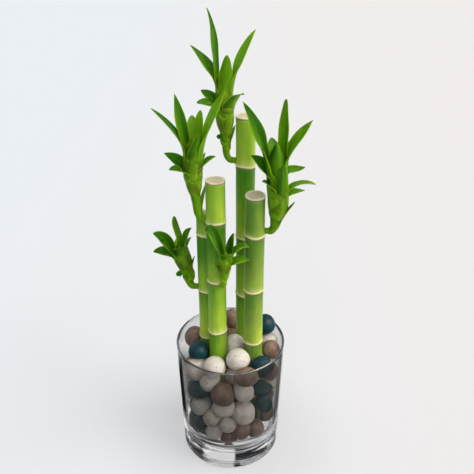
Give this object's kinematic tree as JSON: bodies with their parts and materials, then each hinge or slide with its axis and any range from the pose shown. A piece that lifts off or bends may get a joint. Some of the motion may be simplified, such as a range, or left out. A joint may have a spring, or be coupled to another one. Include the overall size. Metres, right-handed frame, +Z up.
{
  "type": "lucky bamboo",
  "caption": "Upright lucky bamboo canes with ringed joints, sealed cut tops and leafy side shoots, standing in river pebbles in a clear glass tumbler.",
  "frame": {"origin": "centre of the glass's flat underside", "axes": "+Z up along the canes, -Y towards the viewer, +X to the viewer's right"},
  "size_m": [0.11, 0.082, 0.3352],
  "materials": {
    "glass": "clear, polished, thick at the base",
    "cane": "smooth living stem, semi-gloss, yellow-green with pale joints",
    "cut_seal": "matt tan cut face with a pale lip",
    "foliage": "satin leaf, fine lengthwise veins",
    "stone_white": "tumbled, matt",
    "stone_brown": "tumbled, satin",
    "stone_teal": "tumbled, satin"
  },
  "bodies": {
    "root": {"glass_tumbler": "glass", "pebble_brown_01": "stone_brown", "pebble_teal_01": "stone_teal", "pebble_white_01": "stone_white", "pebble_white_02": "stone_white", "pebble_white_03": "stone_white", "pebble_brown_02": "stone_brown", "pebble_teal_02": "stone_teal", "pebble_white_04": "stone_white", "pebble_brown_03": "stone_brown", "pebble_teal_03": "stone_teal", "pebble_brown_04": "stone_brown", "pebble_brown_05": "stone_brown", "pebble_brown_06": "stone_brown", "pebble_teal_04": "stone_teal", "pebble_brown_07": "stone_brown", "pebble_white_05": "stone_white", "pebble_teal_05": "stone_teal", "pebble_brown_08": "stone_brown", "pebble_white_06": "stone_white", "pebble_white_07": "stone_white", "pebble_white_08": "stone_white", "pebble_teal_06": "stone_teal", "pebble_white_09": "stone_white", "pebble_white_10": "stone_white", "pebble_white_11": "stone_white", "pebble_teal_07": "stone_teal", "pebble_brown_09": "stone_brown", "pebble_brown_10": "stone_brown", "pebble_white_12": "stone_white", "pebble_white_13": "stone_white", "pebble_brown_11": "stone_brown", "pebble_brown_12": "stone_brown", "pebble_teal_08": "stone_teal", "pebble_white_14": "stone_white", "pebble_brown_13": "stone_brown", "pebble_brown_14": "stone_brown", "pebble_white_15": "stone_white", "pebble_white_16": "stone_white", "pebble_white_17": "stone_white", "pebble_brown_15": "stone_brown", "pebble_brown_16": "stone_brown", "pebble_brown_17": "stone_brown", "pebble_white_18": "stone_white", "pebble_brown_18": "stone_brown", "pebble_white_19": "stone_white", "pebble_teal_09": "stone_teal", "cane_back": "cane", "seal_back": "cut_seal", "cane_front_left": "cane", "seal_front_left": "cut_seal", "cane_front_right": "cane", "seal_front_right": "cut_seal", "cane_rear_left": "cane", "seal_rear_left": "cut_seal", "shoot_back": "foliage", "shoot_front_left_upper": "foliage", "shoot_front_right": "foliage", "shoot_rear_left": "foliage", "shoot_front_left_lower": "foliage"}
  },
  "joints": []
}
